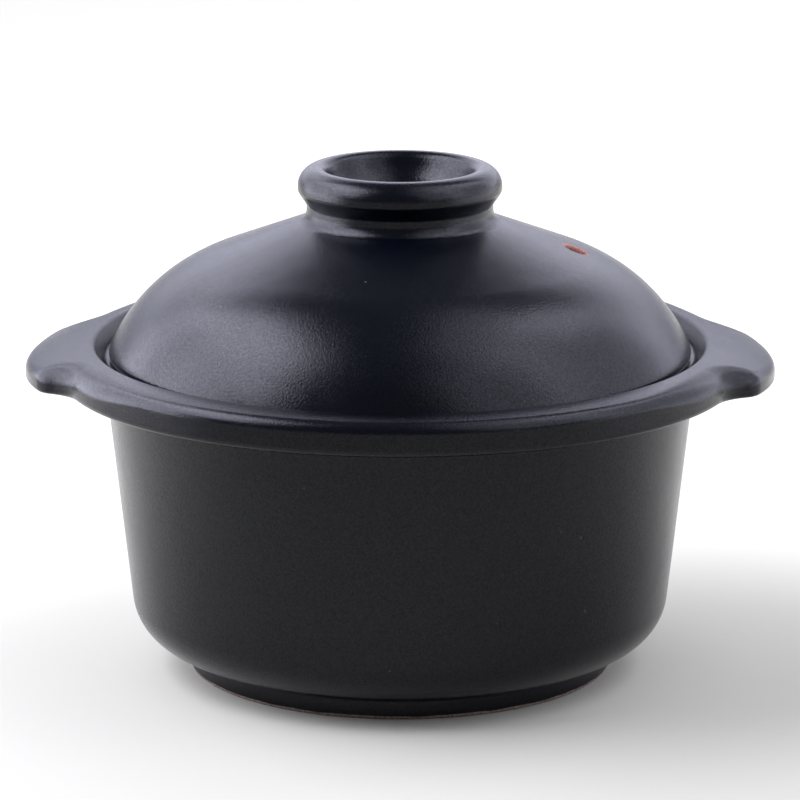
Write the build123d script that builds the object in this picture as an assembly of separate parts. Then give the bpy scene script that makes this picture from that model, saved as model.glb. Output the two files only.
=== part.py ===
from build123d import *
import math
import os

# A lidded stoneware casserole: a deep pot with a thick flared rim, two lugs drawn out of the rim,
# a stepped gallery that the lid sits in, and a domed lid with a hollow ring knob and a steam hole.
# Lengths are in millimetres and angles in degrees. The origin is the centre of the foot on the
# table, +Z is up and the two lugs point along +X and -X.

# Body: a deep wall that leans out as it rises, over a shallow conical underside
rim_underside_height = 98.6
wall_top_radius = 98.4
wall_taper = 6.4
wall_thickness = 7.0
floor_thickness = 7.5
underside_slope = 15.0
belly_round = 17.0
inner_corner_round = 15.0

# Foot: a short ring that carries the pot clear of the stove
foot_height = 5.6
foot_width = 7.0
foot_inset = 17.15
foot_tread_round = 1.2
foot_inner_round = 1.0
crease_rise = 1.6
crease_round = 1.5

# Rim: a thick band that overhangs the wall, with a top that falls away outward
rim_depth = 12.0
rim_overhang = 15.1
rim_top_width = 11.2
rim_top_curve = 42.0
rim_crest_round = 2.0
rim_cove_round = 3.0

# Gallery: the step inside the rim that the lid rests on
gallery_depth = 5.4
gallery_flare = 4.0
gallery_seat_width = 8.7
gallery_root_round = 1.8
gallery_edge_round = 1.6

# Lugs: flat ears that carry the rim on outward, luted on along a flat seat
lug_reach = 11.5
lug_end_curve = 68.0
lug_half_width = 30.5
lug_flank_lean = 28.0
lug_seat_depth = 5.5

# Lid: a shoulder that is one arc, running up into a straight sloping crown
lid_play = 1.3
lid_thickness = 6.4
lid_shoulder_curve = 58.6
lid_shoulder_drop = 20.7
lid_crown_slope = 21.0
lid_edge_round = 2.4
lid_edge_width = 6.4
lid_inner_edge_round = 1.4
lid_inner_bead_round = 6.0
lid_ceiling_drop = 6.2
lid_ceiling_round = 12.0

# Knob: a hollow ring with a rounded bead over a short waisted neck
neck_radius = 31.0
neck_height = 5.1
neck_foot_round = 4.5
neck_top_round = 2.2
knob_seat_rise = 0.3
bead_flare = 2.9
bead_flare_height = 4.3
bead_flare_round = 2.8
bead_height = 8.0
bead_width = 8.7
dish_depth = 13.0
dish_lean = 4.9
dish_mouth_round = 1.5
dish_floor_round = 9.0

# Steam hole: punched square to the crown, in line with a lug
steam_hole_radius = 3.8
steam_hole_setback = 6.1
steam_hole_round = 0.9

# Roundings as shares of what they round: the lug's flank in plan, the height of its tip, and the
# bead's height or width, whichever is less
lug_corner_run_share = 0.25
lug_root_run_share = 0.63
rim_top_round_share = 0.38
rim_bottom_round_share = 0.44
bead_top_round_share = 0.79

# Cuts run this far past the faces that they cut
overrun = 2.0

# An edge is level when it rises by less than this share of its length
level_share = 0.5


def slope(angle):
    """The rise for each millimetre of run."""
    return math.tan(math.radians(angle))


def wall_radius(height):
    """The outside of the wall, which leans out as it rises."""
    return wall_top_radius - (rim_underside_height - height) * slope(wall_taper)


# Sizes of the pot that follow from those above
crease_height = foot_height + crease_rise
foot_radius = wall_radius(crease_height) - foot_inset
floor_height = foot_height + floor_thickness
rim_crest_height = rim_underside_height + rim_depth
rim_outer_radius = wall_top_radius + rim_overhang
rim_mouth_radius = rim_outer_radius - rim_top_width
rim_top_centre = (rim_mouth_radius, rim_crest_height - rim_top_curve)
gallery_seat_height = rim_crest_height - gallery_depth
gallery_seat_radius = rim_mouth_radius - gallery_flare
lug_tip = rim_outer_radius + lug_reach
lug_seat = rim_outer_radius - lug_seat_depth

# Sizes of the lid that follow from the gallery
lid_outer_radius = gallery_seat_radius - lid_play
lid_mouth_radius = lid_outer_radius - lid_edge_round - lid_edge_width
lid_inner_curve = lid_shoulder_curve - lid_thickness
lid_edge_reach = math.sqrt(
    (lid_shoulder_curve - lid_edge_round) ** 2 - (lid_shoulder_drop + lid_edge_round) ** 2
)
shoulder_centre = (
    lid_outer_radius - lid_edge_round - lid_edge_reach,
    gallery_seat_height - lid_shoulder_drop,
)


def outline(*edges):
    """A closed flat section. Its first coordinate is the radius and its second the height."""
    return make_face(Curve() + list(edges))


def rounded(section, *corners):
    """The section with each named corner rounded by its radius."""
    for place, radius in corners:
        nearest = section.vertices().sort_by_distance((*place, 0))[0]
        section = fillet(nearest, radius)
    return section


def turned(section):
    """The solid that the section makes on the wheel."""
    return revolve(Plane.XZ * section, axis=Axis.Z)


def on_circle(centre, radius, angle):
    """The point of a circle at an angle from the outward direction."""
    turn = math.radians(angle)
    return centre[0] + radius * math.cos(turn), centre[1] + radius * math.sin(turn)


def reach(point):
    """How far a point stands from the pot's axis."""
    return math.hypot(point.X, point.Y)


def belly_corner():
    """Where the line of the underside would meet the line of the wall."""
    run = foot_inset / (1 - slope(underside_slope) * slope(wall_taper))
    return foot_radius + run, crease_height + run * slope(underside_slope)


def rim_top_height(radius):
    """The rim's top, which falls away outward along an arc."""
    return rim_top_centre[1] + math.sqrt(rim_top_curve**2 - (radius - rim_mouth_radius) ** 2)


def pot_blank():
    """The turned pot, with its rim still a full disc as wide as the lugs."""
    disc_radius = lug_tip + overrun
    disc_turn = math.degrees(math.asin((disc_radius - rim_mouth_radius) / rim_top_curve))
    crease = (foot_radius, crease_height)
    wall_top = (wall_top_radius, rim_underside_height)
    crest = (rim_mouth_radius, rim_crest_height)
    seat_root = (gallery_seat_radius, gallery_seat_height)
    seat_edge = (gallery_seat_radius - gallery_seat_width, gallery_seat_height)
    inner_corner = (wall_radius(floor_height) - wall_thickness, floor_height)
    section = outline(
        Polyline(
            (0, foot_height),
            (foot_radius, foot_height),
            crease,
            belly_corner(),
            wall_top,
            (disc_radius, rim_underside_height),
            (disc_radius, rim_top_height(disc_radius)),
        ),
        CenterArc(rim_top_centre, rim_top_curve, 90 - disc_turn, disc_turn),
        Polyline(
            crest,
            seat_root,
            seat_edge,
            inner_corner,
            (0, floor_height),
            (0, foot_height),
        ),
    )
    section = rounded(
        section,
        (crease, crease_round),
        (belly_corner(), belly_round),
        (wall_top, rim_cove_round),
        (crest, rim_crest_round),
        (seat_root, gallery_root_round),
        (seat_edge, gallery_edge_round),
        (inner_corner, inner_corner_round),
    )
    return turned(section)


def lug_corner():
    """Where a lug's curved end would meet its straight flank."""
    drop = lug_end_curve - math.sqrt(lug_end_curve**2 - lug_half_width**2)
    return lug_tip - drop, lug_half_width


def lug_flank():
    """How long a lug's flank is, from its corner to the rim's circle."""
    corner_x, corner_y = lug_corner()
    lean = math.radians(lug_flank_lean)
    nearest = corner_x * math.cos(lean) - corner_y * math.sin(lean)
    chord = math.sqrt(nearest**2 - corner_x**2 - corner_y**2 + rim_outer_radius**2)
    return nearest - chord


def lug_rounds():
    """The roundings at the lug's corner and at its root. Each takes its share of the flank."""
    flank = lug_flank()
    corner_x, corner_y = lug_corner()
    lean = math.radians(lug_flank_lean)
    root = (corner_x - flank * math.cos(lean), corner_y + flank * math.sin(lean))
    corner_turn = math.pi / 2 - lean - math.asin(lug_half_width / lug_end_curve)
    root_turn = math.pi / 2 - lean - math.atan2(root[1], root[0])
    corner_round = lug_corner_run_share * flank / math.tan(corner_turn / 2)
    root_round = lug_root_run_share * flank / math.tan(root_turn / 2)
    return corner_round, root_round


def rim_plan():
    """The rim seen from above: a circle with an ear each side, blended into it."""
    corner_x, corner_y = lug_corner()
    root_y = corner_y + corner_x * slope(lug_flank_lean)
    end_turn = math.degrees(math.asin(lug_half_width / lug_end_curve))
    ear = outline(
        CenterArc((lug_tip - lug_end_curve, 0), lug_end_curve, -end_turn, 2 * end_turn),
        Polyline(
            (corner_x, corner_y),
            (0, root_y),
            (0, -root_y),
            (corner_x, -corner_y),
        ),
    )
    corner_round, root_round = lug_rounds()
    plan = Circle(rim_outer_radius) + ear + mirror(ear, about=Plane.YZ)
    corners = plan.vertices().filter_by(lambda v: reach(v) > rim_outer_radius + overrun)
    plan = fillet(corners, corner_round)
    roots = plan.vertices().filter_by(lambda v: abs(reach(v) - rim_outer_radius) < overrun)
    return fillet(roots, root_round)


def brim_edges(pot):
    """The level edges that run round the outside of the rim and its lugs."""
    outside = pot.edges().filter_by(lambda e: reach(e @ 0.5) > rim_outer_radius - overrun)
    return outside.filter_by(lambda e: abs((e % 0.5).Z) < level_share)


def pot_with_lugs():
    """The pot with its rim trimmed to the plan and the rim's outer edges rounded."""
    tip_height = rim_top_height(lug_tip) - rim_underside_height
    middle = rim_underside_height + tip_height / 2
    waste = Circle(lug_tip + 2 * overrun) - rim_plan()
    cutter = extrude(waste, rim_depth + 2 * overrun)
    pot = pot_blank() - Pos(0, 0, rim_underside_height - overrun) * cutter
    tops = brim_edges(pot).filter_by(lambda e: (e @ 0.5).Z > middle)
    pot = fillet(tops, rim_top_round_share * tip_height)
    bottoms = brim_edges(pot).filter_by(lambda e: (e @ 0.5).Z < middle)
    lowest = bottoms.group_by(Axis.Z)[0]
    return fillet(lowest, rim_bottom_round_share * tip_height)


def foot_ring():
    """The ring under the floor, with a rounded tread."""
    inner = foot_radius - foot_width
    section = outline(
        Polyline(
            (inner, 0),
            (foot_radius, 0),
            (foot_radius, foot_height),
            (inner, foot_height),
            (inner, 0),
        )
    )
    section = rounded(
        section,
        ((foot_radius, 0), foot_tread_round),
        ((inner, 0), foot_inner_round),
    )
    return turned(section)


def crown_start():
    """Where the shoulder's arc runs out into the straight crown."""
    return on_circle(shoulder_centre, lid_shoulder_curve, 90 - lid_crown_slope)


def neck_foot():
    """Where the line of the crown would meet the neck."""
    radius, height = crown_start()
    return neck_radius, height + (radius - neck_radius) * slope(lid_crown_slope)


def knob_seat_height():
    """The flat joint between the lid and its knob."""
    return neck_foot()[1] + knob_seat_rise


def lid_with_knob():
    """The whole lid, from the rim of its underside to the bead of its knob."""
    edge_turn = math.degrees(math.asin(lid_shoulder_drop / lid_shoulder_curve))
    edge_corner = on_circle(shoulder_centre, lid_shoulder_curve, edge_turn)
    crown_turn = 90 - lid_crown_slope
    inner_crown = on_circle(shoulder_centre, lid_inner_curve, crown_turn)
    ceiling_height = knob_seat_height() - lid_ceiling_drop
    ceiling_radius = inner_crown[0] - (ceiling_height - inner_crown[1]) / slope(lid_crown_slope)
    ceiling_corner = (ceiling_radius, ceiling_height)
    mouth_turn = math.degrees(math.acos((lid_mouth_radius - shoulder_centre[0]) / lid_inner_curve))
    inner_bead = on_circle(shoulder_centre, lid_inner_curve, mouth_turn)
    mouth_corner = (lid_mouth_radius, gallery_seat_height)
    neck_top = (neck_radius, neck_foot()[1] + neck_height)
    bead_radius = neck_radius + bead_flare
    bead_low = (bead_radius, neck_top[1] + bead_flare_height)
    bead_high = (bead_radius, bead_low[1] + bead_height)
    dish_mouth = (bead_radius - bead_width, bead_high[1])
    dish_corner = (dish_mouth[0] - dish_lean, bead_high[1] - dish_depth)
    section = outline(
        Polyline(inner_bead, mouth_corner, edge_corner),
        CenterArc(shoulder_centre, lid_shoulder_curve, edge_turn, crown_turn - edge_turn),
        Polyline(
            crown_start(),
            neck_foot(),
            neck_top,
            bead_low,
            bead_high,
            dish_mouth,
            dish_corner,
            (0, dish_corner[1]),
            (0, ceiling_height),
            ceiling_corner,
            inner_crown,
        ),
        CenterArc(shoulder_centre, lid_inner_curve, mouth_turn, crown_turn - mouth_turn),
    )
    section = rounded(
        section,
        (inner_bead, lid_inner_bead_round),
        (mouth_corner, lid_inner_edge_round),
        (edge_corner, lid_edge_round),
        (neck_foot(), neck_foot_round),
        (neck_top, neck_top_round),
        (bead_low, bead_flare_round),
        (bead_high, bead_top_round_share * min(bead_height, bead_width)),
        (dish_mouth, dish_mouth_round),
        (dish_corner, dish_floor_round),
        (ceiling_corner, lid_ceiling_round),
    )
    return turned(section)


def steam_hole_place():
    """The middle of the steam hole, on the crown, with its axis square to it."""
    radius, height = crown_start()
    rise = steam_hole_setback * slope(lid_crown_slope)
    return Pos(radius - steam_hole_setback, 0, height + rise) * Rot(0, lid_crown_slope, 0)


def lid_with_steam_hole():
    """The lid with its steam hole punched and the hole's outer edge softened."""
    punch = steam_hole_place() * Cylinder(steam_hole_radius, 2 * (lid_thickness + overrun))
    lid = lid_with_knob() - punch
    above = steam_hole_place() * Pos(0, 0, overrun)
    mouths = lid.edges().filter_by(GeomType.BSPLINE).sort_by_distance(above.position)
    return fillet(mouths[0], steam_hole_round)


def make_parts():
    """Every piece by its name."""
    pot = pot_with_lugs()
    left_seat = Plane.YZ.offset(-lug_seat)
    right_seat = Plane.YZ.offset(lug_seat)
    lid = lid_with_steam_hole()
    knob_seat = Plane.XY.offset(knob_seat_height())
    body = split(split(pot, left_seat, Keep.TOP), right_seat, Keep.BOTTOM)
    return {
        "pot_body": body,
        "left_lug": split(pot, left_seat, Keep.BOTTOM),
        "right_lug": split(pot, right_seat, Keep.TOP),
        "foot_ring": foot_ring(),
        "lid_dome": split(lid, knob_seat, Keep.BOTTOM),
        "lid_knob": split(lid, knob_seat, Keep.TOP),
    }


os.makedirs("parts", exist_ok=True)
for name, piece in make_parts().items():
    export_step(piece, f"parts/{name}.step")
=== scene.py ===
import math

import bmesh
import bpy
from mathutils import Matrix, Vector


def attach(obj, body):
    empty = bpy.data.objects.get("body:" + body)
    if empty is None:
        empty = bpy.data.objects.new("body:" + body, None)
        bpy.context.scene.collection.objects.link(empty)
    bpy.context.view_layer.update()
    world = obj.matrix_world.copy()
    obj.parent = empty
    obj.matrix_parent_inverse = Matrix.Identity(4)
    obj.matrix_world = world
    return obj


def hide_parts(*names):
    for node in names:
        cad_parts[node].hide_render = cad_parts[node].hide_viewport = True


# A lidded stoneware casserole under a satin black glaze. Each surface follows the same named sizes as
# the CAD part. Lengths are in millimetres and angles in degrees, but the floor, the lamps and the
# camera are set out in metres.

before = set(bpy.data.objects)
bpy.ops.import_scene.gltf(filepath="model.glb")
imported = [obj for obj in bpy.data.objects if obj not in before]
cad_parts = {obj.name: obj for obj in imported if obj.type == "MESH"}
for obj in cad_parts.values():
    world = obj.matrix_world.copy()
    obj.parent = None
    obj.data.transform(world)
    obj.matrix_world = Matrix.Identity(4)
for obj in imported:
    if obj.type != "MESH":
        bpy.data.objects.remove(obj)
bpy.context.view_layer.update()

MM = 0.001

# Body: a deep wall that leans out as it rises, over a shallow conical underside
rim_underside_height = 98.6
wall_top_radius = 98.4
wall_taper = 6.4
wall_thickness = 7.0
floor_thickness = 7.5
underside_slope = 15.0
belly_round = 17.0
inner_corner_round = 15.0

# Foot: a short ring that carries the pot clear of the stove
foot_height = 5.6
foot_width = 7.0
foot_inset = 17.15
foot_tread_round = 1.2
foot_inner_round = 1.0
crease_rise = 1.6
crease_round = 1.5

# Rim: a thick band that overhangs the wall, with a top that falls away outward
rim_depth = 12.0
rim_overhang = 15.1
rim_top_width = 11.2
rim_top_curve = 42.0
rim_crest_round = 2.0
rim_cove_round = 3.0

# Gallery: the step inside the rim that the lid rests on
gallery_depth = 5.4
gallery_flare = 4.0
gallery_seat_width = 8.7
gallery_root_round = 1.8
gallery_edge_round = 1.6

# Lugs: flat ears that carry the rim on outward, luted on along a flat seat
lug_reach = 11.5
lug_end_curve = 68.0
lug_half_width = 30.5
lug_flank_lean = 28.0
lug_seat_depth = 5.5

# Lid: a shoulder that is one arc, running up into a straight sloping crown
lid_play = 1.3
lid_thickness = 6.4
lid_shoulder_curve = 58.6
lid_shoulder_drop = 20.7
lid_crown_slope = 21.0
lid_edge_round = 2.4
lid_edge_width = 6.4
lid_inner_edge_round = 1.4
lid_inner_bead_round = 6.0
lid_ceiling_drop = 6.2
lid_ceiling_round = 12.0

# Knob: a hollow ring with a rounded bead over a short waisted neck
neck_radius = 31.0
neck_height = 5.1
neck_foot_round = 4.5
neck_top_round = 2.2
knob_seat_rise = 0.3
bead_flare = 2.9
bead_flare_height = 4.3
bead_flare_round = 2.8
bead_height = 8.0
bead_width = 8.7
dish_depth = 13.0
dish_lean = 4.9

# Steam hole: punched square to the crown, in line with a lug
steam_hole_radius = 3.8
steam_hole_setback = 6.1
steam_hole_round = 0.9

# Roundings as shares of what they round: the lug's flank in plan, the height of its tip's edge, and
# the bead's height or width, whichever is less
lug_corner_run_share = 0.25
lug_root_run_share = 0.63
rim_bottom_round_share = 0.44
bead_top_round_share = 0.79

# Edges that are drawn otherwise than in the CAD part, as the photograph shows them. The potter's sponge
# left the top edge of the rim and the lugs, the knob's mouth and the corner of its dish softer, and the
# lower edge of each lug crisper. The rim's share is of the height of a lug's tip, and a lug's shares are
# of the edge's own height. They take over from the rim's at so many degrees off the lug's middle, over so
# many degrees
rim_top_round_share = 0.75
lug_top_round_share = 0.74
lug_bottom_round_share = 0.22
lug_shares_start = 46.0
lug_shares_run = 20.0
mouth_soft_round = 3.3
dish_soft_round = 14.0

# How finely a surface is laid out: turns in degrees and steps in millimetres
section_turn = 7.5
wheel_turn = 1.5
shoulder_turn = 2.0
plan_turn = 5.0
plan_step = 1.8
brim_rows = 12
underside_rows = 4
edge_rows = 6
hole_window_rows = 5
hole_window_step = 1.15
hole_patch_rows = 3

# How near two points of a path that face the same way count as one, how near a cut takes a point in,
# and how often a point beside the steam hole is let down onto the crown
same_spot = 0.001
cut_reach = 0.01
landing_tries = 4


# Plane geometry

def unit(x, y):
    """The direction of a vector."""
    size = math.hypot(x, y)
    return x / size, y / size


def on_circle(centre, radius, angle):
    """The point of a circle at an angle from the outward direction."""
    turn = math.radians(angle)
    return centre[0] + radius * math.cos(turn), centre[1] + radius * math.sin(turn)


def meet(start, direction, centre, radius):
    """The farther point where a line from start meets a circle."""
    across = start[0] - centre[0], start[1] - centre[1]
    middle = -(across[0] * direction[0] + across[1] * direction[1])
    spread = math.sqrt(middle**2 - across[0] ** 2 - across[1] ** 2 + radius**2)
    return start[0] + (middle + spread) * direction[0], start[1] + (middle + spread) * direction[1]


def toward(start, end, distance):
    """The point at a distance from start, on the way to end."""
    along = unit(end[0] - start[0], end[1] - start[1])
    return start[0] + along[0] * distance, start[1] + along[1] * distance


def bend(centre, start, end, convex=True, turn=section_turn):
    """The arc from start to end, each point with the way that its surface faces."""
    radius = math.dist(centre, start)
    first = math.atan2(start[1] - centre[1], start[0] - centre[0])
    last = math.atan2(end[1] - centre[1], end[0] - centre[0])
    sweep = (last - first + math.pi) % (2 * math.pi) - math.pi
    count = max(2, math.ceil(abs(math.degrees(sweep)) / turn))
    side = 1 if convex else -1
    points = []
    for step in range(count + 1):
        angle = first + sweep * step / count
        out = math.cos(angle), math.sin(angle)
        spot = centre[0] + radius * out[0], centre[1] + radius * out[1]
        points.append((*spot, side * out[0], side * out[1]))
    return points


def corner(before, at, after, radius):
    """The rounding of a corner on a path that keeps the air on its right."""
    came = unit(at[0] - before[0], at[1] - before[1])
    goes = unit(after[0] - at[0], after[1] - at[1])
    left = came[0] * goes[1] - came[1] * goes[0]
    turn = math.atan2(abs(left), came[0] * goes[0] + came[1] * goes[1])
    run = radius * math.tan(turn / 2)
    side = math.copysign(radius, left)
    start = at[0] - came[0] * run, at[1] - came[1] * run
    end = at[0] + goes[0] * run, at[1] + goes[1] * run
    centre = start[0] - came[1] * side, start[1] + came[0] * side
    return bend(centre, start, end, convex=left > 0)


def chain(*stretches):
    """Stretches of a path in one list, each shared end kept once."""
    path = []
    for stretch in stretches:
        for point in stretch:
            if not path or math.dist(path[-1], point) > same_spot:
                path.append(point)
    return path


# The pot's section

def slope(angle):
    """The rise for each millimetre of run."""
    return math.tan(math.radians(angle))


def wall_radius(height):
    """The outside of the wall, which leans out as it rises."""
    return wall_top_radius - (rim_underside_height - height) * slope(wall_taper)


crease_height = foot_height + crease_rise
foot_radius = wall_radius(crease_height) - foot_inset
floor_height = foot_height + floor_thickness
belly_run = foot_inset / (1 - slope(underside_slope) * slope(wall_taper))
rim_crest_height = rim_underside_height + rim_depth
rim_outer_radius = wall_top_radius + rim_overhang
rim_mouth_radius = rim_outer_radius - rim_top_width
gallery_seat_height = rim_crest_height - gallery_depth
gallery_seat_radius = rim_mouth_radius - gallery_flare
lug_tip = rim_outer_radius + lug_reach
lug_seat = rim_outer_radius - lug_seat_depth

crease = (foot_radius, crease_height)
belly = (foot_radius + belly_run, crease_height + belly_run * slope(underside_slope))
wall_top = (wall_top_radius, rim_underside_height)
brim_end = (lug_tip, rim_underside_height)
crest = (rim_mouth_radius, rim_crest_height)
top_centre = (rim_mouth_radius, rim_crest_height - rim_top_curve)
seat_root = (gallery_seat_radius, gallery_seat_height)
seat_edge = (gallery_seat_radius - gallery_seat_width, gallery_seat_height)
inner_corner = (wall_radius(floor_height) - wall_thickness, floor_height)
tip_rise = math.sqrt(rim_top_curve**2 - (lug_tip - rim_mouth_radius) ** 2)
tip_height = top_centre[1] + tip_rise - rim_underside_height
rim_top_round = rim_top_round_share * tip_height
rim_bottom_round = rim_bottom_round_share * tip_height


def crest_ball():
    """The centre of the rounding between the rim's top and the gallery's wall."""
    down = unit(seat_root[0] - crest[0], seat_root[1] - crest[1])
    start = crest[0] - down[1] * rim_crest_round, crest[1] + down[0] * rim_crest_round
    return meet(start, (-down[0], -down[1]), top_centre, rim_top_curve - rim_crest_round)


def crest_section():
    """From the rim's top, over the crest, to the gallery's wall."""
    ball = crest_ball()
    down = unit(seat_root[0] - crest[0], seat_root[1] - crest[1])
    end = ball[0] + down[1] * rim_crest_round, ball[1] - down[0] * rim_crest_round
    return bend(ball, toward(top_centre, ball, rim_top_curve), end)


def outer_section():
    """From the joint with the foot up to the rim's underside."""
    return chain(
        [(foot_radius, foot_height, 1, 0)],
        corner((foot_radius, foot_height), crease, belly, crease_round),
        corner(crease, belly, wall_top, belly_round),
        corner(belly, wall_top, brim_end, rim_cove_round),
    )


def inner_section():
    """From the rim's crest down through the gallery to the middle of the floor."""
    return chain(
        crest_section(),
        corner(crest, seat_root, seat_edge, gallery_root_round),
        corner(seat_root, seat_edge, inner_corner, gallery_edge_round),
        corner(seat_edge, inner_corner, (0, floor_height), inner_corner_round),
        [(0, floor_height, 0, 1)],
    )


# The rim's plan: a quarter of the outline, then its mirror images

def lug_quarter():
    """The outline from a lug's tip to the front of the rim, each point with the way it faces."""
    end_centre = (lug_tip - lug_end_curve, 0)
    corner_x = end_centre[0] + math.sqrt(lug_end_curve**2 - lug_half_width**2)
    lean = math.radians(lug_flank_lean)
    along = (-math.cos(lean), math.sin(lean))
    facing = (math.sin(lean), math.cos(lean))
    root = meet((corner_x, lug_half_width), (-along[0], -along[1]), (0, 0), rim_outer_radius)
    flank_run = math.dist((corner_x, lug_half_width), root)
    corner_turn = math.pi / 2 - lean - math.asin(lug_half_width / lug_end_curve)
    root_turn = math.pi / 2 - lean - math.atan2(root[1], root[0])
    lug_corner_round = lug_corner_run_share * flank_run / math.tan(corner_turn / 2)
    lug_root_round = lug_root_run_share * flank_run / math.tan(root_turn / 2)
    inside = corner_x - facing[0] * lug_corner_round, lug_half_width - facing[1] * lug_corner_round
    ball = meet(inside, (-along[0], -along[1]), end_centre, lug_end_curve - lug_corner_round)
    outside = corner_x + facing[0] * lug_root_round, lug_half_width + facing[1] * lug_root_round
    hollow = meet(outside, (-along[0], -along[1]), (0, 0), rim_outer_radius + lug_root_round)
    tip_end = toward(end_centre, ball, lug_end_curve)
    flank_start = ball[0] + facing[0] * lug_corner_round, ball[1] + facing[1] * lug_corner_round
    flank_end = hollow[0] - facing[0] * lug_root_round, hollow[1] - facing[1] * lug_root_round
    root_end = toward((0, 0), hollow, rim_outer_radius)
    steps = math.ceil(math.dist(flank_start, flank_end) / plan_step)
    flank = [
        (
            flank_start[0] + (flank_end[0] - flank_start[0]) * step / steps,
            flank_start[1] + (flank_end[1] - flank_start[1]) * step / steps,
            *facing,
        )
        for step in range(steps + 1)
    ]
    return chain(
        bend(end_centre, (lug_tip, 0), tip_end, turn=wheel_turn),
        bend(ball, tip_end, flank_start, turn=plan_turn),
        flank,
        bend(hollow, flank_end, root_end, convex=False, turn=plan_turn),
        bend((0, 0), root_end, (0, rim_outer_radius), turn=wheel_turn),
    )


def rim_outline():
    """The whole outline, counter-clockwise from the right lug's tip."""
    quarter = lug_quarter()
    back = [(-x, y, -facing_x, facing_y) for x, y, facing_x, facing_y in reversed(quarter)]
    half = chain(quarter, back)
    front = [(x, -y, facing_x, -facing_y) for x, y, facing_x, facing_y in reversed(half)]
    return chain(half, front)[:-1]


# Meshes

class Shell:
    """A surface being laid out: its points in millimetres, the way each faces, and its faces."""

    def __init__(self):
        self.points = []
        self.facings = []
        self.faces = []
        self.bare = set()

    def ring(self, points):
        """Adds points with their facings, and gives their numbers."""
        first = len(self.points)
        for point, facing in points:
            self.points.append(point)
            self.facings.append(facing)
        return list(range(first, len(self.points)))

    def join(self, low, high, skip=(), bare=False):
        """Adds the faces between two rings. A ring of one point is the middle of a disc."""
        count = max(len(low), len(high))
        for here in range(count):
            if here in skip:
                continue
            there = (here + 1) % count
            if len(low) == 1:
                face = (low[0], high[there], high[here])
            elif len(high) == 1:
                face = (low[here], low[there], high[0])
            else:
                face = (low[here], low[there], high[there], high[here])
            if bare:
                self.bare.add(len(self.faces))
            self.faces.append(face)

    def stack(self, rings, skip=()):
        """Joins each ring to the next, but for the columns to skip."""
        for low, high in zip(rings, rings[1:]):
            self.join(low, high, skip)

    def turn(self, section, angles):
        """The rings that a section leaves on the wheel at these angles."""
        rings = []
        for radius, height, out, up in section:
            if radius < same_spot:
                rings.append(self.ring([(Vector((0, 0, height)), Vector((0, 0, up)))]))
                continue
            rings.append(
                self.ring(
                    (
                        Vector((radius * math.cos(angle), radius * math.sin(angle), height)),
                        Vector((out * math.cos(angle), out * math.sin(angle), up)),
                    )
                    for angle in angles
                )
            )
        return rings


def piece(name, shell, body, node, materials, planes=()):
    """A mesh of the shell, cut off and closed at each plane, that stands for a CAD node in its body."""
    mesh = bmesh.new()
    facing = mesh.verts.layers.float_vector.new("facing")
    for point, way in zip(shell.points, shell.facings):
        mesh.verts.new(point * MM)[facing] = way
    mesh.verts.ensure_lookup_table()
    for number, corners in enumerate(shell.faces):
        face = mesh.faces.new([mesh.verts[index] for index in corners])
        face.material_index = int(number in shell.bare)
    for place, outward in planes:
        everything = mesh.verts[:] + mesh.edges[:] + mesh.faces[:]
        cut = bmesh.ops.bisect_plane(
            mesh,
            geom=everything,
            dist=cut_reach * MM,
            plane_co=Vector(place) * MM,
            plane_no=outward,
            clear_outer=True,
        )
        seam = [part for part in cut["geom_cut"] if isinstance(part, bmesh.types.BMEdge)]
        bmesh.ops.holes_fill(mesh, edges=seam)
    loose = [vert for vert in mesh.verts if not vert.link_faces]
    bmesh.ops.delete(mesh, geom=loose, context="VERTS")
    ways = [vert[facing].normalized() for vert in mesh.verts]
    mesh.verts.layers.float_vector.remove(facing)
    data = bpy.data.meshes.new(name)
    mesh.to_mesh(data)
    mesh.free()
    data.shade_smooth()
    data.normals_split_custom_set_from_vertices(ways)
    for material in materials:
        data.materials.append(material)
    made = bpy.data.objects.new(name, data)
    bpy.context.scene.collection.objects.link(made)
    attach(made, body)
    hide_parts(node)


def edge_rounds(x, y):
    """The roundings of the brim's edge, top and bottom: the rim's, or a lug's where that takes over."""
    turn = math.degrees(math.atan2(abs(y), abs(x)))
    way = min(1, max(0, (lug_shares_start - turn) / lug_shares_run))
    lug = way * way * (3 - 2 * way)
    rise = math.sqrt(rim_top_curve**2 - (math.hypot(x, y) - rim_mouth_radius) ** 2)
    height = top_centre[1] + rise - rim_underside_height
    top = rim_top_round + (lug_top_round_share * height - rim_top_round) * lug
    bottom = rim_bottom_round + (lug_bottom_round_share * height - rim_bottom_round) * lug
    return top, bottom


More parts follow.
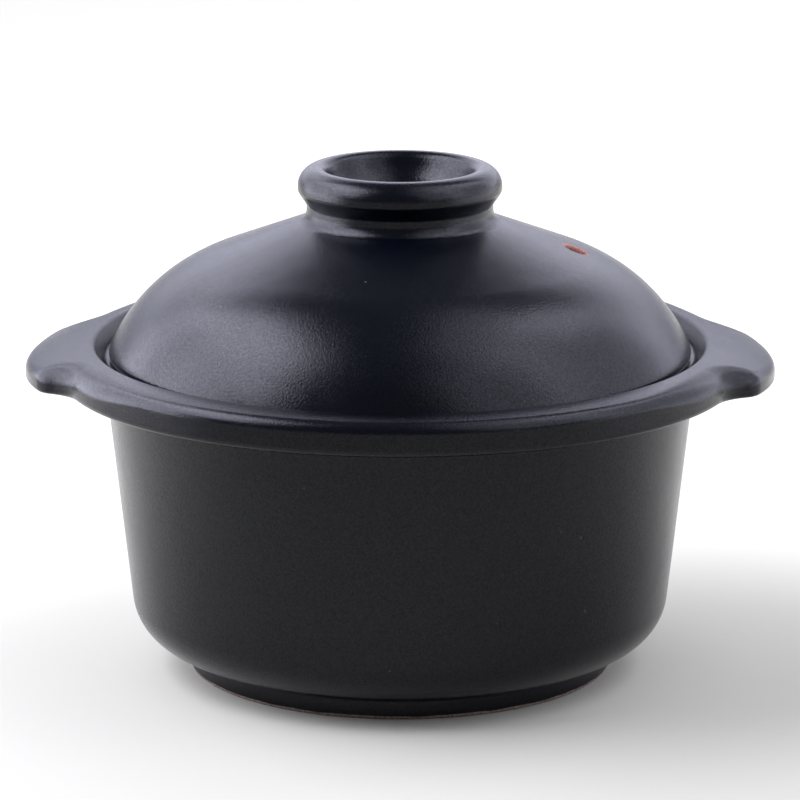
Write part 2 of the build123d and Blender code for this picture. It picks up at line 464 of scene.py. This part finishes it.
def brim_rings(shell, outline):
    """The rim from its underside, round its outer edge, over its top, to the start of the crest."""
    cove_end = outer_section()[-1][0]
    crest_radius = crest_section()[0][0]
    columns = []
    for x, y, facing_x, facing_y in outline:
        edge = Vector((x, y, 0))
        out = Vector((facing_x, facing_y, 0))
        away = edge.normalized()
        top_round, bottom_round = edge_rounds(x, y)
        column = []
        # The flat underside, out from the cove
        low = edge - out * bottom_round
        start = away * cove_end
        for row in range(1, underside_rows):
            spot = start.lerp(low, row / underside_rows)
            column.append((Vector((spot.x, spot.y, rim_underside_height)), Vector((0, 0, -1))))
        # The lower rounding
        low.z = rim_underside_height + bottom_round
        for row in range(edge_rows + 1):
            turn = math.pi / 2 * row / edge_rows
            way = out * math.sin(turn) - Vector((0, 0, math.cos(turn)))
            column.append((low + way * bottom_round, way))
        # The upper rounding, which runs into the top's large arc
        high = edge - out * top_round
        reach = high.length - rim_mouth_radius
        rise = math.sqrt((rim_top_curve - top_round) ** 2 - reach**2)
        top_way = (high.normalized() * reach + Vector((0, 0, rise))).normalized()
        ball = Vector((high.x, high.y, top_centre[1] + rise))
        for row in range(edge_rows + 1):
            way = out.slerp(top_way, row / edge_rows)
            column.append((ball + way * top_round, way))
        # The top, in to the crest
        finish = away * crest_radius
        contact = (ball + top_way * top_round).xy.to_3d()
        for row in range(1, brim_rows + 1):
            spot = contact.lerp(finish, row / brim_rows)
            reach = spot.length - rim_mouth_radius
            rise = math.sqrt(rim_top_curve**2 - reach**2)
            way = (spot.normalized() * reach + Vector((0, 0, rise))) / rim_top_curve
            column.append((Vector((spot.x, spot.y, top_centre[1] + rise)), way))
        columns.append(column)
    return [shell.ring(row) for row in zip(*columns)]


def wheel_angles():
    """Even steps round the wheel."""
    count = round(360 / wheel_turn)
    return [2 * math.pi * step / count for step in range(count)]


def pot_shell():
    """The pot and its lugs as one surface, from the foot's joint over the rim to the floor."""
    shell = Shell()
    outline = rim_outline()
    angles = [math.atan2(y, x) for x, y, _, _ in outline]
    rings = shell.turn(outer_section(), angles)
    rings += brim_rings(shell, outline)
    # The brim's last ring is the first one of the inner section
    rings += shell.turn(inner_section()[1:], angles)
    shell.stack(rings)
    underside = [(0, foot_height, 0, -1), (foot_radius, foot_height, 0, -1)]
    shell.stack(shell.turn(underside, angles))
    return shell


def foot_shell():
    """The foot ring: inside, tread, outside and the flat joint on top."""
    inner = foot_radius - foot_width
    shell = Shell()
    angles = wheel_angles()
    section = chain(
        [(inner, foot_height, -1, 0)],
        corner((inner, foot_height), (inner, 0), (foot_radius, 0), foot_inner_round),
        corner((inner, 0), (foot_radius, 0), (foot_radius, foot_height), foot_tread_round),
        [(foot_radius, foot_height, 1, 0)],
    )
    shell.stack(shell.turn(section, angles))
    shell.stack(shell.turn([(foot_radius, foot_height, 0, 1), (inner, foot_height, 0, 1)], angles))
    return shell


# The lid's section

lid_outer_radius = gallery_seat_radius - lid_play
lid_mouth_radius = lid_outer_radius - lid_edge_round - lid_edge_width
lid_inner_curve = lid_shoulder_curve - lid_thickness
lid_edge_curve = lid_shoulder_curve - lid_edge_round
lid_edge_reach = math.sqrt(lid_edge_curve**2 - (lid_shoulder_drop + lid_edge_round) ** 2)
lid_flat_radius = lid_outer_radius - lid_edge_round
shoulder_centre = (lid_flat_radius - lid_edge_reach, gallery_seat_height - lid_shoulder_drop)
crown_way = math.radians(lid_crown_slope)
crown_fall = slope(lid_crown_slope)
crown_start = on_circle(shoulder_centre, lid_shoulder_curve, 90 - lid_crown_slope)
inner_crown = on_circle(shoulder_centre, lid_inner_curve, 90 - lid_crown_slope)
neck_foot = (neck_radius, crown_start[1] + (crown_start[0] - neck_radius) * crown_fall)
knob_seat_height = neck_foot[1] + knob_seat_rise
ceiling_height = knob_seat_height - lid_ceiling_drop
ceiling_corner = (inner_crown[0] - (ceiling_height - inner_crown[1]) / crown_fall, ceiling_height)
neck_top = (neck_radius, neck_foot[1] + neck_height)
bead_low = (neck_radius + bead_flare, neck_top[1] + bead_flare_height)
bead_high = (bead_low[0], bead_low[1] + bead_height)
dish_mouth = (bead_low[0] - bead_width, bead_high[1])
dish_corner = (dish_mouth[0] - dish_lean, bead_high[1] - dish_depth)

# The steam hole: how far up the crown it is, its axis, and the way straight down the crown
hole_slope = steam_hole_setback / math.cos(crown_way)
hole_axis = Vector((math.sin(crown_way), 0, math.cos(crown_way)))
hole_down = Vector((math.cos(crown_way), 0, -math.sin(crown_way)))


def crown_row(distance, thickness=0):
    """A point of the straight crown, at a distance up the slope from the shoulder's end."""
    side = -1 if thickness else 1
    radius = crown_start[0] - distance * math.cos(crown_way) - thickness * math.sin(crown_way)
    height = crown_start[1] + distance * math.sin(crown_way) - thickness * math.cos(crown_way)
    return radius, height, side * math.sin(crown_way), side * math.cos(crown_way)


def hole_rows(thickness=0):
    """The rows of the crown across the steam hole's window."""
    reach = hole_window_rows * hole_window_step
    steps = range(2 * hole_window_rows + 1)
    return [crown_row(hole_slope - reach + hole_window_step * step, thickness) for step in steps]


def lid_underside():
    """From the middle of the ceiling out and down to the inner edge: before, across and after the window."""
    bead_reach = lid_mouth_radius - lid_inner_bead_round - shoulder_centre[0]
    bead_rise = math.sqrt((lid_inner_curve - lid_inner_bead_round) ** 2 - bead_reach**2)
    bead_ball = (lid_mouth_radius - lid_inner_bead_round, shoulder_centre[1] + bead_rise)
    bead_start = toward(shoulder_centre, bead_ball, lid_inner_curve)
    bead_end = (lid_mouth_radius, bead_ball[1])
    mouth_corner = (lid_mouth_radius, gallery_seat_height)
    return (
        chain(
            [(0, ceiling_height, 0, -1)],
            corner((0, ceiling_height), ceiling_corner, inner_crown, lid_ceiling_round),
        ),
        list(reversed(hole_rows(lid_thickness))),
        chain(
            bend(shoulder_centre, inner_crown, bead_start, convex=False),
            bend(bead_ball, bead_start, bead_end, convex=False),
            corner(bead_end, mouth_corner, (lid_outer_radius, gallery_seat_height), lid_inner_edge_round),
        ),
    )


def lid_outside():
    """From the seat up the shoulder to the crown and the knob: before, across and after the window."""
    ball = (lid_flat_radius, gallery_seat_height + lid_edge_round)
    touch = toward(shoulder_centre, ball, lid_shoulder_curve)
    return (
        chain(
            bend(ball, (ball[0], gallery_seat_height), touch),
            bend(shoulder_centre, touch, crown_start, turn=shoulder_turn),
        ),
        hole_rows(),
        chain(
            corner(crown_start, neck_foot, neck_top, neck_foot_round),
            corner(neck_foot, neck_top, bead_low, neck_top_round),
            corner(neck_top, bead_low, bead_high, bead_flare_round),
            corner(bead_low, bead_high, dish_mouth, bead_top_round_share * min(bead_height, bead_width)),
            corner(bead_high, dish_mouth, dish_corner, mouth_soft_round),
            corner(dish_mouth, dish_corner, (0, dish_corner[1]), dish_soft_round),
            [(0, dish_corner[1], 0, 1)],
        ),
    )


def window_loop(rings, columns):
    """The edge of the window left in the rings, counter-clockwise as seen from above the hole."""
    low, high = rings[0], rings[-1]
    first, last = columns[0], columns[-1]
    return (
        [low[column] for column in columns]
        + [ring[last] for ring in rings[1:-1]]
        + [high[column] for column in reversed(columns)]
        + [ring[first] for ring in reversed(rings[1:-1])]
    )


def on_crown(across, along, thickness=0):
    """The point of the crown that lies this far from the hole's axis, and the way it faces."""
    radius, height, _, _ = crown_row(hole_slope, thickness)
    foot = Vector((radius, 0, height)) + hole_down * along + Vector((0, across, 0))
    lift = 0.0
    for _ in range(landing_tries):
        spot = foot + hole_axis * lift
        sag = height + radius * crown_fall - spot.z - math.hypot(spot.x, spot.y) * crown_fall
        lift += sag * math.cos(crown_way)
    spot = foot + hole_axis * lift
    out = Vector((spot.x, spot.y, 0)).normalized() * math.sin(crown_way)
    return spot, out + Vector((0, 0, math.cos(crown_way)))


def patch_window(shell, loop, thickness=0):
    """Fills the window between its edge and the steam hole's mouth, and gives the mouth's ring."""
    side = -1 if thickness else 1
    mouth = steam_hole_radius + (0 if thickness else steam_hole_round)
    radius, height, _, _ = crown_row(hole_slope, thickness)
    centre = Vector((radius, 0, height))
    offsets = [shell.points[number] - centre for number in loop]
    spots = [(offset.y, offset.dot(hole_down)) for offset in offsets]
    rings = [loop]
    for row in range(1, hole_patch_rows + 1):
        share = row / hole_patch_rows
        ring = []
        for across, along in spots:
            way = unit(across, along)
            spot = across + (way[0] * mouth - across) * share, along + (way[1] * mouth - along) * share
            point, facing = on_crown(*spot, thickness)
            ring.append((point, facing * side))
        rings.append(shell.ring(ring))
    shell.stack(rings)
    return rings[-1], [unit(*spot) for spot in spots]


def bore_hole(shell, mouth, inner_mouth, ways):
    """The steam hole's rounded mouth and its bare bore."""
    outs = [hole_down * along + Vector((0, across, 0)) for across, along in ways]
    columns = []
    for number, out in zip(mouth, outs):
        ball = shell.points[number] - hole_axis * steam_hole_round
        column = []
        for row in range(edge_rows + 1):
            turn = math.pi / 2 * row / edge_rows
            way = hole_axis * math.cos(turn) - out * math.sin(turn)
            column.append((ball + way * steam_hole_round, way))
        columns.append(column)
    rings = [shell.ring(row) for row in zip(*columns)]
    end = shell.ring((shell.points[number], -out) for number, out in zip(inner_mouth, outs))
    for low, high in zip(rings, rings[1:] + [end]):
        shell.join(low, high, bare=True)


def lid_shell():
    """The lid and its knob as one surface, with the steam hole through the crown."""
    shell = Shell()
    angles = wheel_angles()
    columns = list(range(-hole_window_rows, hole_window_rows + 1))
    skip = [column % len(angles) for column in columns[:-1]]
    under_start, under_hole, under_end = (shell.turn(part, angles) for part in lid_underside())
    out_start, out_hole, out_end = (shell.turn(part, angles) for part in lid_outside())
    shell.stack(under_start + under_hole[:1])
    shell.stack(under_hole, skip)
    shell.stack(under_hole[-1:] + under_end + out_start + out_hole[:1])
    shell.stack(out_hole, skip)
    shell.stack(out_hole[-1:] + out_end)
    inner_loop = list(reversed(window_loop(under_hole[::-1], columns)))
    outer_loop = window_loop(out_hole, columns)
    inner_mouth, _ = patch_window(shell, inner_loop, lid_thickness)
    mouth, ways = patch_window(shell, outer_loop)
    bore_hole(shell, mouth, across_wall(shell, mouth, inner_mouth), ways)
    return shell


def across_wall(shell, mouth, inner_mouth):
    """The inner mouth's points in the order of the outer mouth's."""
    gaps = [(shell.points[number] - shell.points[mouth[0]]).length for number in inner_mouth]
    start = gaps.index(min(gaps))
    return list(reversed(inner_mouth[start + 1 :] + inner_mouth[: start + 1]))


# Materials

def linear(code):
    """A colour written as sRGB hex, as the shader takes it."""
    parts = [int(code[place : place + 2], 16) / 255 for place in (1, 3, 5)]
    return (*[part / 12.92 if part <= 0.04045 else ((part + 0.055) / 1.055) ** 2.4 for part in parts], 1.0)


def add(tree, kind, settings=None, inputs=None):
    """A node with its settings, and its inputs given or linked.

    A mix of colours takes its share in input 0 and the colours in 6 and 7, and gives output 2.
    """
    made = tree.nodes.new(kind)
    for name, value in (settings or {}).items():
        setattr(made, name, value)
    for name, value in (inputs or {}).items():
        if isinstance(value, bpy.types.NodeSocket):
            tree.links.new(value, made.inputs[name])
        else:
            made.inputs[name].default_value = value
    return made


def blank_material(name):
    """An empty material and its node tree."""
    material = bpy.data.materials.new(name)
    material.use_nodes = True
    material.node_tree.nodes.clear()
    return material, material.node_tree


def place_on_pot(tree):
    """The place on the pot, with a millimetre as its unit, which is then the patterns' unit too."""
    metres = add(tree, "ShaderNodeTexCoord").outputs["Object"]
    return add(tree, "ShaderNodeVectorMath", {"operation": "SCALE"}, {0: metres, "Scale": 1 / MM}).outputs[0]


# What the slow patterns and the fine ones stay between nearly everywhere
slow_pattern = (0.3, 0.7)
fine_pattern = (0.35, 0.65)

# Glaze and fired clay both bend light about as much as window glass
ceramic_ior = 1.5

# Satin black glaze: thick it is blue-black and thin a shade paler, with iron specks that came through
thick_glaze = "#020409"
thin_glaze = "#05070e"
iron_speck = "#3b342f"
glaze_roughness = (0.18, 0.24)
glaze_mirror = (0.18, 0.3)

# The glaze's patterns, each by the length of its waves and by its depth in millimetres. The grain is
# 0.4 mm in the fired piece and drawn half as coarse again, so that it shows
swell_length = 16
swell_depth = 0.12
wheel_ring_length = 5
wheel_ring_depth = 0.03
grain_length = 0.65
grain_depth = 0.09
cloud_length = 24

# Specks: the size of the cells that may hold one, the share of them that don't, and where a speck
# starts and ends to fade, as shares of its cell
speck_cell = 9
speck_depth = 0.12
speck_free_share = 0.6
speck_core = 0.02
speck_edge = 0.05


def glazed(name, bare):
    """Satin black glaze, poured and fired, over clay that is left bare where the mask says so."""
    material, tree = blank_material(name)
    place = place_on_pot(tree)
    height = add(tree, "ShaderNodeSeparateXYZ", inputs={0: place}).outputs["Z"]

    # A slow swell where the glaze ran thicker: highlights wander a little, as on poured glaze
    swell = add(
        tree,
        "ShaderNodeTexNoise",
        inputs={"Vector": place, "Scale": 1 / swell_length, "Detail": 1.0},
    )
    swelled = add(
        tree,
        "ShaderNodeBump",
        inputs={"Height": swell.outputs[0], "Distance": swell_depth * MM},
    )
    # Rings from the wheel under the glaze: faint level bands on the wall and round the dome
    level = add(tree, "ShaderNodeCombineXYZ", inputs={"Z": height})
    rings = add(
        tree,
        "ShaderNodeTexNoise",
        inputs={"Vector": level.outputs[0], "Scale": 1 / wheel_ring_length, "Detail": 1.0},
    )
    ringed = add(
        tree,
        "ShaderNodeBump",
        inputs={
            "Height": rings.outputs[0],
            "Distance": wheel_ring_depth * MM,
            "Normal": swelled.outputs["Normal"],
        },
    )
    # The fine grain of a satin glaze: it breaks the edge of each highlight into grains
    grain = add(
        tree,
        "ShaderNodeTexNoise",
        inputs={"Vector": place, "Scale": 1 / grain_length, "Detail": 2.0, "Roughness": 0.6},
    )
    grained = add(
        tree,
        "ShaderNodeBump",
        inputs={
            "Height": grain.outputs[0],
            "Distance": grain_depth * MM,
            "Normal": ringed.outputs["Normal"],
        },
    )
    # A few pinholes with iron specks in them: brownish dots up to 0.6 mm across, some 50 mm apart
    cells = add(tree, "ShaderNodeTexVoronoi", inputs={"Vector": place, "Scale": 1 / speck_cell})
    chance = add(tree, "ShaderNodeSeparateColor", inputs={0: cells.outputs["Color"]})
    picked = add(
        tree,
        "ShaderNodeMath",
        {"operation": "GREATER_THAN"},
        {0: chance.outputs[0], 1: speck_free_share},
    )
    near = add(
        tree,
        "ShaderNodeMapRange",
        {"interpolation_type": "SMOOTHSTEP"},
        {
            "Value": cells.outputs["Distance"],
            "From Min": speck_core,
            "From Max": speck_edge,
            "To Min": 1.0,
            "To Max": 0.0,
        },
    )
    speck = add(
        tree,
        "ShaderNodeMath",
        {"operation": "MULTIPLY"},
        {0: near.outputs[0], 1: picked.outputs[0]},
    )
    pitted = add(
        tree,
        "ShaderNodeBump",
        {"invert": True},
        {
            "Height": speck.outputs[0],
            "Distance": speck_depth * MM,
            "Normal": grained.outputs["Normal"],
        },
    )
    # Clouds of thicker and thinner glaze: they vary the black and its shine by very little
    cloud = add(
        tree,
        "ShaderNodeTexNoise",
        inputs={"Vector": place, "Scale": 1 / cloud_length, "Detail": 3.0},
    )
    depth = add(
        tree,
        "ShaderNodeMix",
        {"data_type": "RGBA"},
        {0: cloud.outputs[0], 6: linear(thick_glaze), 7: linear(thin_glaze)},
    )
    colour = add(
        tree,
        "ShaderNodeMix",
        {"data_type": "RGBA"},
        {0: speck.outputs[0], 6: depth.outputs[2], 7: linear(iron_speck)},
    )
    sheen = add(
        tree,
        "ShaderNodeMapRange",
        inputs={
            "Value": cloud.outputs[0],
            "From Min": slow_pattern[0],
            "From Max": slow_pattern[1],
            "To Min": glaze_roughness[0],
            "To Max": glaze_roughness[1],
        },
    )
    # The crystals that make the glaze satin mirror a little more or less from grain to grain
    crystals = add(
        tree,
        "ShaderNodeMapRange",
        inputs={
            "Value": grain.outputs[0],
            "From Min": fine_pattern[0],
            "From Max": fine_pattern[1],
            "To Min": glaze_mirror[0],
            "To Max": glaze_mirror[1],
        },
    )
    glaze = add(
        tree,
        "ShaderNodeBsdfPrincipled",
        inputs={
            "Base Color": colour.outputs[2],
            "Roughness": sheen.outputs[0],
            "IOR": ceramic_ior,
            "Specular IOR Level": crystals.outputs[0],
            "Normal": pitted.outputs["Normal"],
        },
    )
    clay = fired_clay(tree, place, kiln_clay)
    mask = bare(tree, place, height)
    both = add(tree, "ShaderNodeMixShader", inputs={0: mask, 1: glaze.outputs[0], 2: clay})
    add(tree, "ShaderNodeOutputMaterial", inputs={"Surface": both.outputs[0]})
    return material


# Bare stoneware, from dark to pale, where it was wiped and where the steam hole was punched. A wave of
# its grit is two grains long
kiln_clay = ("#4d4039", "#8a7a6d")
punched_clay = ("#7c4b3d", "#bd8b7c")
clay_roughness = 0.9
grit_length = 0.9
grit_depth = 0.15


def fired_clay(tree, place, colours):
    """Bare fired stoneware: dry and sandy, speckled between two colours with grains of 0.5 mm."""
    grit = add(
        tree,
        "ShaderNodeTexNoise",
        inputs={"Vector": place, "Scale": 1 / grit_length, "Detail": 3.0, "Roughness": 0.7},
    )
    spread = add(
        tree,
        "ShaderNodeMapRange",
        inputs={"Value": grit.outputs[0], "From Min": fine_pattern[0], "From Max": fine_pattern[1]},
    )
    colour = add(
        tree,
        "ShaderNodeMix",
        {"data_type": "RGBA"},
        {0: spread.outputs[0], 6: linear(colours[0]), 7: linear(colours[1])},
    )
    rough = add(
        tree,
        "ShaderNodeBump",
        inputs={"Height": grit.outputs[0], "Distance": grit_depth * MM},
    )
    shader = add(
        tree,
        "ShaderNodeBsdfPrincipled",
        inputs={
            "Base Color": colour.outputs[2],
            "Roughness": clay_roughness,
            "IOR": ceramic_ior,
            "Normal": rough.outputs["Normal"],
        },
    )
    return shader.outputs[0]


def ragged(tree, place, value, length, depth):
    """A measure made uneven by up to half of depth each way, in waves of the given length."""
    wave = add(
        tree,
        "ShaderNodeTexNoise",
        inputs={"Vector": place, "Scale": 1 / length, "Detail": 2.0},
    )
    push = add(
        tree,
        "ShaderNodeMath",
        {"operation": "MULTIPLY_ADD"},
        {0: wave.outputs[0], 1: depth, 2: -depth / 2},
    )
    return add(tree, "ShaderNodeMath", {"operation": "ADD"}, {0: value, 1: push.outputs[0]}).outputs[0]


# The wiped places, in millimetres: the waves of their edges, how far those wander, and how softly they
# end. A seat is wiped where it is level to within so much, and the tread up to between two heights
seat_wave = 6
seat_wander = 1.0
seat_fade = 0.8
seat_level = 0.2
tread_wave = 9
tread_wander = 0.9
tread_line = (1.1, 1.35)


def bare_seat(tree, place, height):
    """The flat ring where lid and pot touch in the kiln, wiped clean of glaze."""
    across = add(tree, "ShaderNodeVectorMath", {"operation": "MULTIPLY"}, {0: place, 1: (1, 1, 0)})
    radius = add(tree, "ShaderNodeVectorMath", {"operation": "LENGTH"}, {0: across.outputs[0]})
    uneven = ragged(tree, place, radius.outputs["Value"], seat_wave, seat_wander)
    middle = (seat_edge[0] + lid_flat_radius) / 2
    reach = (lid_flat_radius - seat_edge[0]) / 2
    off = add(tree, "ShaderNodeMath", {"operation": "SUBTRACT"}, {0: uneven, 1: middle})
    off = add(tree, "ShaderNodeMath", {"operation": "ABSOLUTE"}, {0: off.outputs[0]})
    inside = add(
        tree,
        "ShaderNodeMapRange",
        inputs={
            "Value": off.outputs[0],
            "From Min": reach - seat_fade,
            "From Max": reach,
            "To Min": 1.0,
            "To Max": 0.0,
        },
    )
    rise = add(
        tree,
        "ShaderNodeMath",
        {"operation": "SUBTRACT"},
        {0: height, 1: gallery_seat_height},
    )
    rise = add(tree, "ShaderNodeMath", {"operation": "ABSOLUTE"}, {0: rise.outputs[0]})
    flat = add(tree, "ShaderNodeMath", {"operation": "LESS_THAN"}, {0: rise.outputs[0], 1: seat_level})
    mask = add(
        tree,
        "ShaderNodeMath",
        {"operation": "MULTIPLY"},
        {0: inside.outputs[0], 1: flat.outputs[0]},
    )
    return mask.outputs[0]


def bare_tread(tree, place, height):
    """The tread of the foot, wiped clean of glaze up to a wavering line."""
    line = ragged(tree, place, height, tread_wave, tread_wander)
    mask = add(
        tree,
        "ShaderNodeMapRange",
        inputs={
            "Value": line,
            "From Min": tread_line[0],
            "From Max": tread_line[1],
            "To Min": 1.0,
            "To Max": 0.0,
        },
    )
    return mask.outputs[0]


def steam_hole_clay():
    """The bore of the steam hole, where the punch left bare pink-brown clay."""
    material, tree = blank_material("bare_clay_bore")
    clay = fired_clay(tree, place_on_pot(tree), punched_clay)
    add(tree, "ShaderNodeOutputMaterial", inputs={"Surface": clay})
    return material


glaze = glazed("satin_black_glaze", bare_seat)
foot_glaze = glazed("satin_black_glaze_over_bare_tread", bare_tread)
bore_clay = steam_hole_clay()

# The pieces, each cut from its surface where the potter luted it on. A cut is a place and a way out
pot = pot_shell()
lid = lid_shell()
to_left, to_right, upward, downward = (-1, 0, 0), (1, 0, 0), (0, 0, 1), (0, 0, -1)
left_joint = (-lug_seat, 0, 0)
right_joint = (lug_seat, 0, 0)
knob_joint = (0, 0, knob_seat_height)
body_cuts = [(left_joint, to_left), (right_joint, to_right)]
piece("pot_body_glazed", pot, "pot", "pot_body", [glaze], body_cuts)
piece("left_lug_glazed", pot, "pot", "left_lug", [glaze], [(left_joint, to_right)])
piece("right_lug_glazed", pot, "pot", "right_lug", [glaze], [(right_joint, to_left)])
piece("foot_ring_glazed", foot_shell(), "pot", "foot_ring", [foot_glaze])
piece("lid_dome_glazed", lid, "lid", "lid_dome", [glaze, bore_clay], [(knob_joint, upward)])
piece("lid_knob_glazed", lid, "lid", "lid_knob", [glaze], [(knob_joint, downward)])


# Floor, lamps and camera, in metres

# The floor's colour and how far it reaches. It turns into a white backdrop between two distances from a
# spot in front of the pot, where it glows this much besides the light that falls on it
floor_colour = "#c4c3b4"
floor_reach = 4.0
backdrop_centre = (0, -0.3, 0)
backdrop_start = 0.3
backdrop_end = 0.95
backdrop_glow = 0.8

# The room's light, by the height and depth of the way it comes from: dim all round, and brighter low
# behind the pot, as from white paper
lamp_colour = "#eaeaff"
room_colour = "#eaecff"
room_light = 0.23
paper_light = 0.75
paper_top = (0.1, 0.2)
paper_depth = (0.0, 0.5)

# The camera's distance from the pot's axis, its height, its turn to the right in degrees, the height
# that it looks at and how far it sees, and its lens and film in millimetres
camera_distance = 1.6
camera_height = 0.4836
camera_turn = 1.3
camera_aim = 0.0897
camera_sight = 20
camera_lens = 221.6
camera_film = 36


def plain_floor():
    """A pale floor that keeps the pot's shadow."""
    mesh = bmesh.new()
    square = ((-1, -1), (1, -1), (1, 1), (-1, 1))
    mesh.faces.new([mesh.verts.new((x * floor_reach, y * floor_reach, 0)) for x, y in square])
    data = bpy.data.meshes.new("floor")
    mesh.to_mesh(data)
    mesh.free()
    data.materials.append(floor_paper())
    floor = bpy.data.objects.new("floor", data)
    bpy.context.scene.collection.objects.link(floor)


def floor_paper():
    """Matte white paper: plain and pale, and farther out as white as a lit backdrop to the eye."""
    material, tree = blank_material("white_paper_floor")
    place = add(tree, "ShaderNodeTexCoord").outputs["Object"]
    away = add(
        tree,
        "ShaderNodeVectorMath",
        {"operation": "DISTANCE"},
        {0: place, 1: backdrop_centre},
    )
    far = add(
        tree,
        "ShaderNodeMapRange",
        {"interpolation_type": "SMOOTHSTEP"},
        {
            "Value": away.outputs["Value"],
            "From Min": backdrop_start,
            "From Max": backdrop_end,
            "To Max": backdrop_glow,
        },
    )
    path = add(tree, "ShaderNodeLightPath")
    seen = add(
        tree,
        "ShaderNodeMath",
        {"operation": "MAXIMUM"},
        {0: path.outputs["Is Camera Ray"], 1: path.outputs["Is Glossy Ray"]},
    )
    shown = add(
        tree,
        "ShaderNodeMath",
        {"operation": "MAXIMUM"},
        {0: seen.outputs[0], 1: path.outputs["Is Transmission Ray"]},
    )
    glow = add(
        tree,
        "ShaderNodeMath",
        {"operation": "MULTIPLY"},
        {0: shown.outputs[0], 1: far.outputs["Result"]},
    )
    shader = add(tree, "ShaderNodeBsdfDiffuse", inputs={"Color": linear(floor_colour)})
    lit = add(tree, "ShaderNodeEmission", inputs={"Strength": glow.outputs[0]})
    both = add(
        tree,
        "ShaderNodeAddShader",
        inputs={0: shader.outputs["BSDF"], 1: lit.outputs["Emission"]},
    )
    add(tree, "ShaderNodeOutputMaterial", inputs={"Surface": both.outputs["Shader"]})
    return material


def soft_box(name, place, aim, size, brightness):
    """A soft box that gives pi watts for each square metre of itself and each unit of brightness."""
    light = bpy.data.lights.new(name, "AREA")
    light.shape = "RECTANGLE"
    light.size, light.size_y = size
    light.energy = brightness * math.pi * size[0] * size[1]
    light.color = linear(lamp_colour)[:3]
    made = bpy.data.objects.new(name, light)
    made.location = place
    made.rotation_euler = (Vector(aim) - Vector(place)).to_track_quat("-Z", "Y").to_euler()
    made.visible_camera = False
    bpy.context.scene.collection.objects.link(made)


def studio_camera():
    """The camera, at the photograph's angle and distance."""
    camera = bpy.data.cameras.new("camera")
    camera.sensor_width = camera_film
    camera.lens = camera_lens
    camera.clip_end = camera_sight
    made = bpy.data.objects.new("camera", camera)
    turn = math.radians(camera_turn)
    made.location = (
        camera_distance * math.sin(turn),
        -camera_distance * math.cos(turn),
        camera_height,
    )
    aim = Vector((0, 0, camera_aim))
    made.rotation_euler = (aim - made.location).to_track_quat("-Z", "Y").to_euler()
    bpy.context.scene.collection.objects.link(made)
    bpy.context.scene.camera = made


def studio_world():
    """A dim studio all round, with white paper standing low behind the pot."""
    world = bpy.data.worlds.new("studio")
    world.use_nodes = True
    world.node_tree.nodes.clear()
    tree = world.node_tree
    direction = add(tree, "ShaderNodeTexCoord").outputs["Generated"]
    way = add(tree, "ShaderNodeSeparateXYZ", inputs={0: direction})
    low = add(
        tree,
        "ShaderNodeMapRange",
        {"interpolation_type": "SMOOTHSTEP"},
        {
            "Value": way.outputs["Z"],
            "From Min": paper_top[0],
            "From Max": paper_top[1],
            "To Min": 1.0,
            "To Max": 0.0,
        },
    )
    behind = add(
        tree,
        "ShaderNodeMapRange",
        {"interpolation_type": "SMOOTHSTEP"},
        {
            "Value": way.outputs["Y"],
            "From Min": paper_depth[0],
            "From Max": paper_depth[1],
            "To Max": paper_light,
        },
    )
    strength = add(
        tree,
        "ShaderNodeMath",
        {"operation": "MULTIPLY_ADD"},
        {0: low.outputs["Result"], 1: behind.outputs["Result"], 2: room_light},
    )
    shader = add(
        tree,
        "ShaderNodeBackground",
        inputs={"Color": linear(room_colour), "Strength": strength.outputs[0]},
    )
    add(tree, "ShaderNodeOutputWorld", inputs={"Surface": shader.outputs["Background"]})
    bpy.context.scene.world = world


plain_floor()
studio_camera()
studio_world()

# Each lamp's name, its place, the spot that it faces, its width and height, and its brightness
for name, place, aim, size, brightness in (
    ("left_front_high", (-0.47, -0.29, 0.72), (0, -0.29, 0.72), (0.2, 0.76), 8.4),
    ("left_low", (-0.47, -0.045, 0.275), (0, -0.045, 0.275), (0.29, 0.45), 8.0),
    ("left_high", (-0.47, -0.045, 0.8), (0, -0.045, 0.8), (0.29, 0.6), 10.0),
    ("left_rear_low", (-0.47, 0.235, 0.275), (0, 0.235, 0.275), (0.27, 0.45), 4.6),
    ("left_rear_high", (-0.47, 0.235, 0.8), (0, 0.235, 0.8), (0.27, 0.6), 7.4),
    ("back", (0, 0.62, 0.46), (0, 0, 0.46), (1.54, 0.44), 2.0),
    ("back_left_high", (-0.5, 0.6, 0.72), (-0.1, 0, 0.12), (0.42, 0.3), 2.2),
    ("right", (0.5, -0.075, 0.6), (0, -0.075, 0.6), (0.35, 1.1), 2.2),
    ("right_rear_low", (0.5, 0.3, 0.325), (0, 0.3, 0.325), (0.4, 0.55), 1.7),
    ("right_rear_high", (0.5, 0.3, 0.875), (0, 0.3, 0.875), (0.4, 0.55), 4.0),
    ("right_top", (0.45, 0, 1.35), (0, 0, 0.12), (1.0, 0.5), 2.0),
    ("front_right", (0.8, -0.55, 0.8), (0, 0, 0.12), (1.0, 1.1), 1.8),
):
    soft_box(name, place, aim, size, brightness)
bpy.context.scene.view_settings.view_transform = "Standard"
